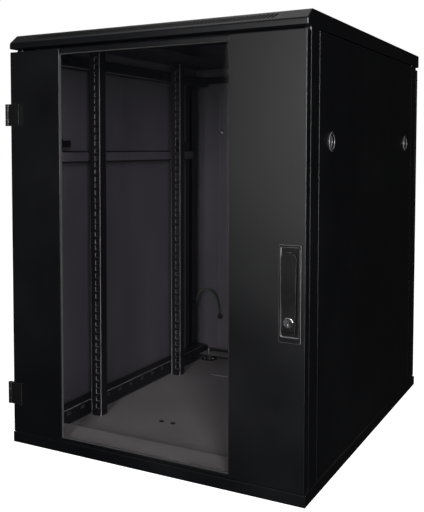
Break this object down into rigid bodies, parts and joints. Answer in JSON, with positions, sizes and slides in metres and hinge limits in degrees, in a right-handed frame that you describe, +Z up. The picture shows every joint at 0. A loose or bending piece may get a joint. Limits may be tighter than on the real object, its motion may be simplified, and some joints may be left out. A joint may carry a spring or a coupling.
{
  "type": "network server rack cabinet",
  "caption": "Black floor-standing 19 inch network rack cabinet with a glazed steel door, swing handle, vented roof edge, lift-off side panels and square-hole mounting rails inside.",
  "frame": {"origin": "on the floor, under the middle of the 600 x 800 mm base", "axes": "+Z up, -Y out of the glazed door, +X to the right seen from the front"},
  "size_m": [0.607, 0.8125, 0.8],
  "materials": {
    "black_powder_coat": "fine-textured black powder coat",
    "frame_powder_coat": "satin black powder coat on inner steelwork",
    "smoked_glass": "clear toughened pane with a light grey tint",
    "black_plastic": "moulded black plastic, satin",
    "zinc_steel": "zinc plated",
    "chrome": "polished",
    "earth_insulation": "green cable sheath with a yellow stripe"
  },
  "bodies": {
    "cabinet": {"base_frame": "frame_powder_coat", "floor_panel": "frame_powder_coat", "floor_cable_cover": "frame_powder_coat", "corner_post_front_left": "frame_powder_coat", "corner_post_rear_left": "frame_powder_coat", "corner_post_front_right": "frame_powder_coat", "corner_post_rear_right": "frame_powder_coat", "top_frame": "frame_powder_coat", "roof_cover": "black_powder_coat", "roof_fan_blank": "black_powder_coat", "depth_rail_lower_left": "frame_powder_coat", "depth_rail_upper_left": "frame_powder_coat", "side_brace_left": "frame_powder_coat", "mounting_rail_front_left": "frame_powder_coat", "mounting_rail_rear_left": "frame_powder_coat", "depth_rail_lower_right": "frame_powder_coat", "depth_rail_upper_right": "frame_powder_coat", "side_brace_right": "frame_powder_coat", "mounting_rail_front_right": "frame_powder_coat", "mounting_rail_rear_right": "frame_powder_coat", "rear_panel": "black_powder_coat", "rear_panel_rib_left": "frame_powder_coat", "rear_panel_rib_right": "frame_powder_coat", "hinge_frame_leaf_lower": "black_plastic", "hinge_frame_leaf_upper": "black_plastic", "hinge_pin_lower": "zinc_steel", "hinge_pin_upper": "zinc_steel", "earth_lead": "earth_insulation", "earth_terminal_post": "zinc_steel", "earth_terminal_panel": "zinc_steel"},
    "front_door": {"door_panel_left": "black_powder_coat", "door_panel_right": "black_powder_coat", "door_strip_top": "black_powder_coat", "door_strip_bottom": "black_powder_coat", "door_glass": "smoked_glass", "glass_retainer_left": "frame_powder_coat", "glass_retainer_right": "frame_powder_coat", "hinge_door_leaf_lower": "black_plastic", "hinge_door_leaf_upper": "black_plastic", "handle_escutcheon": "black_plastic"},
    "handle_turning": {"handle_spindle": "zinc_steel"},
    "handle_lever_body": {"handle_lever": "black_plastic"},
    "lock_barrel_body": {"lock_barrel": "chrome"},
    "side_panel_left_body": {"side_panel_left": "black_powder_coat", "latch_body_left_front": "black_plastic", "latch_body_left_rear": "black_plastic"},
    "side_panel_right_body": {"side_panel_right": "black_powder_coat", "latch_body_right_front": "black_plastic", "latch_body_right_rear": "black_plastic"},
    "latch_cam_left_front_body": {"latch_cam_left_front": "zinc_steel"},
    "latch_cam_left_rear_body": {"latch_cam_left_rear": "zinc_steel"},
    "latch_cam_right_front_body": {"latch_cam_right_front": "zinc_steel"},
    "latch_cam_right_rear_body": {"latch_cam_right_rear": "zinc_steel"},
    "levelling_foot_front_left_body": {"levelling_foot_front_left": "zinc_steel"},
    "levelling_foot_rear_left_body": {"levelling_foot_rear_left": "zinc_steel"},
    "levelling_foot_front_right_body": {"levelling_foot_front_right": "zinc_steel"},
    "levelling_foot_rear_right_body": {"levelling_foot_rear_right": "zinc_steel"}
  },
  "joints": [
    {"name": "door_swing", "type": "hinge", "parent": "cabinet", "child": "front_door", "pos_m": [-0.3025, -0.404, 0.4], "axis": [0, 0, -1], "range_deg": [0, 170]},
    {"name": "handle_turn", "type": "hinge", "parent": "front_door", "child": "handle_turning", "pos_m": [0.274, -0.4, 0.402], "axis": [0, 1, 0], "range_deg": [0, 90]},
    {"name": "lever_lift", "type": "hinge", "parent": "handle_turning", "child": "handle_lever_body", "pos_m": [0.274, -0.409, 0.4105], "axis": [-1, 0, 0], "range_deg": [0, 25]},
    {"name": "lock_turn", "type": "hinge", "parent": "handle_lever_body", "child": "lock_barrel_body", "pos_m": [0.274, -0.409, 0.3015], "axis": [0, 1, 0], "range_deg": [0, 90]},
    {"name": "side_panel_left_off", "type": "slide", "parent": "cabinet", "child": "side_panel_left_body", "axis": [-1, 0, 0], "range_m": [0, 0.2]},
    {"name": "side_panel_right_off", "type": "slide", "parent": "cabinet", "child": "side_panel_right_body", "axis": [1, 0, 0], "range_m": [0, 0.2]},
    {"name": "latch_turn_left_front", "type": "hinge", "parent": "side_panel_left_body", "child": "latch_cam_left_front_body", "pos_m": [-0.285, -0.272, 0.59], "axis": [-1, 0, 0], "range_deg": [0, 90]},
    {"name": "latch_turn_left_rear", "type": "hinge", "parent": "side_panel_left_body", "child": "latch_cam_left_rear_body", "pos_m": [-0.285, 0.272, 0.59], "axis": [-1, 0, 0], "range_deg": [0, 90]},
    {"name": "latch_turn_right_front", "type": "hinge", "parent": "side_panel_right_body", "child": "latch_cam_right_front_body", "pos_m": [0.285, -0.272, 0.59], "axis": [-1, 0, 0], "range_deg": [0, 90]},
    {"name": "latch_turn_right_rear", "type": "hinge", "parent": "side_panel_right_body", "child": "latch_cam_right_rear_body", "pos_m": [0.285, 0.272, 0.59], "axis": [-1, 0, 0], "range_deg": [0, 90]},
    {"name": "foot_front_left_extend", "type": "slide", "parent": "cabinet", "child": "levelling_foot_front_left_body", "axis": [0, 0, -1], "range_m": [0, 0.012]},
    {"name": "foot_rear_left_extend", "type": "slide", "parent": "cabinet", "child": "levelling_foot_rear_left_body", "axis": [0, 0, -1], "range_m": [0, 0.012]},
    {"name": "foot_front_right_extend", "type": "slide", "parent": "cabinet", "child": "levelling_foot_front_right_body", "axis": [0, 0, -1], "range_m": [0, 0.012]},
    {"name": "foot_rear_right_extend", "type": "slide", "parent": "cabinet", "child": "levelling_foot_rear_right_body", "axis": [0, 0, -1], "range_m": [0, 0.012]}
  ]
}
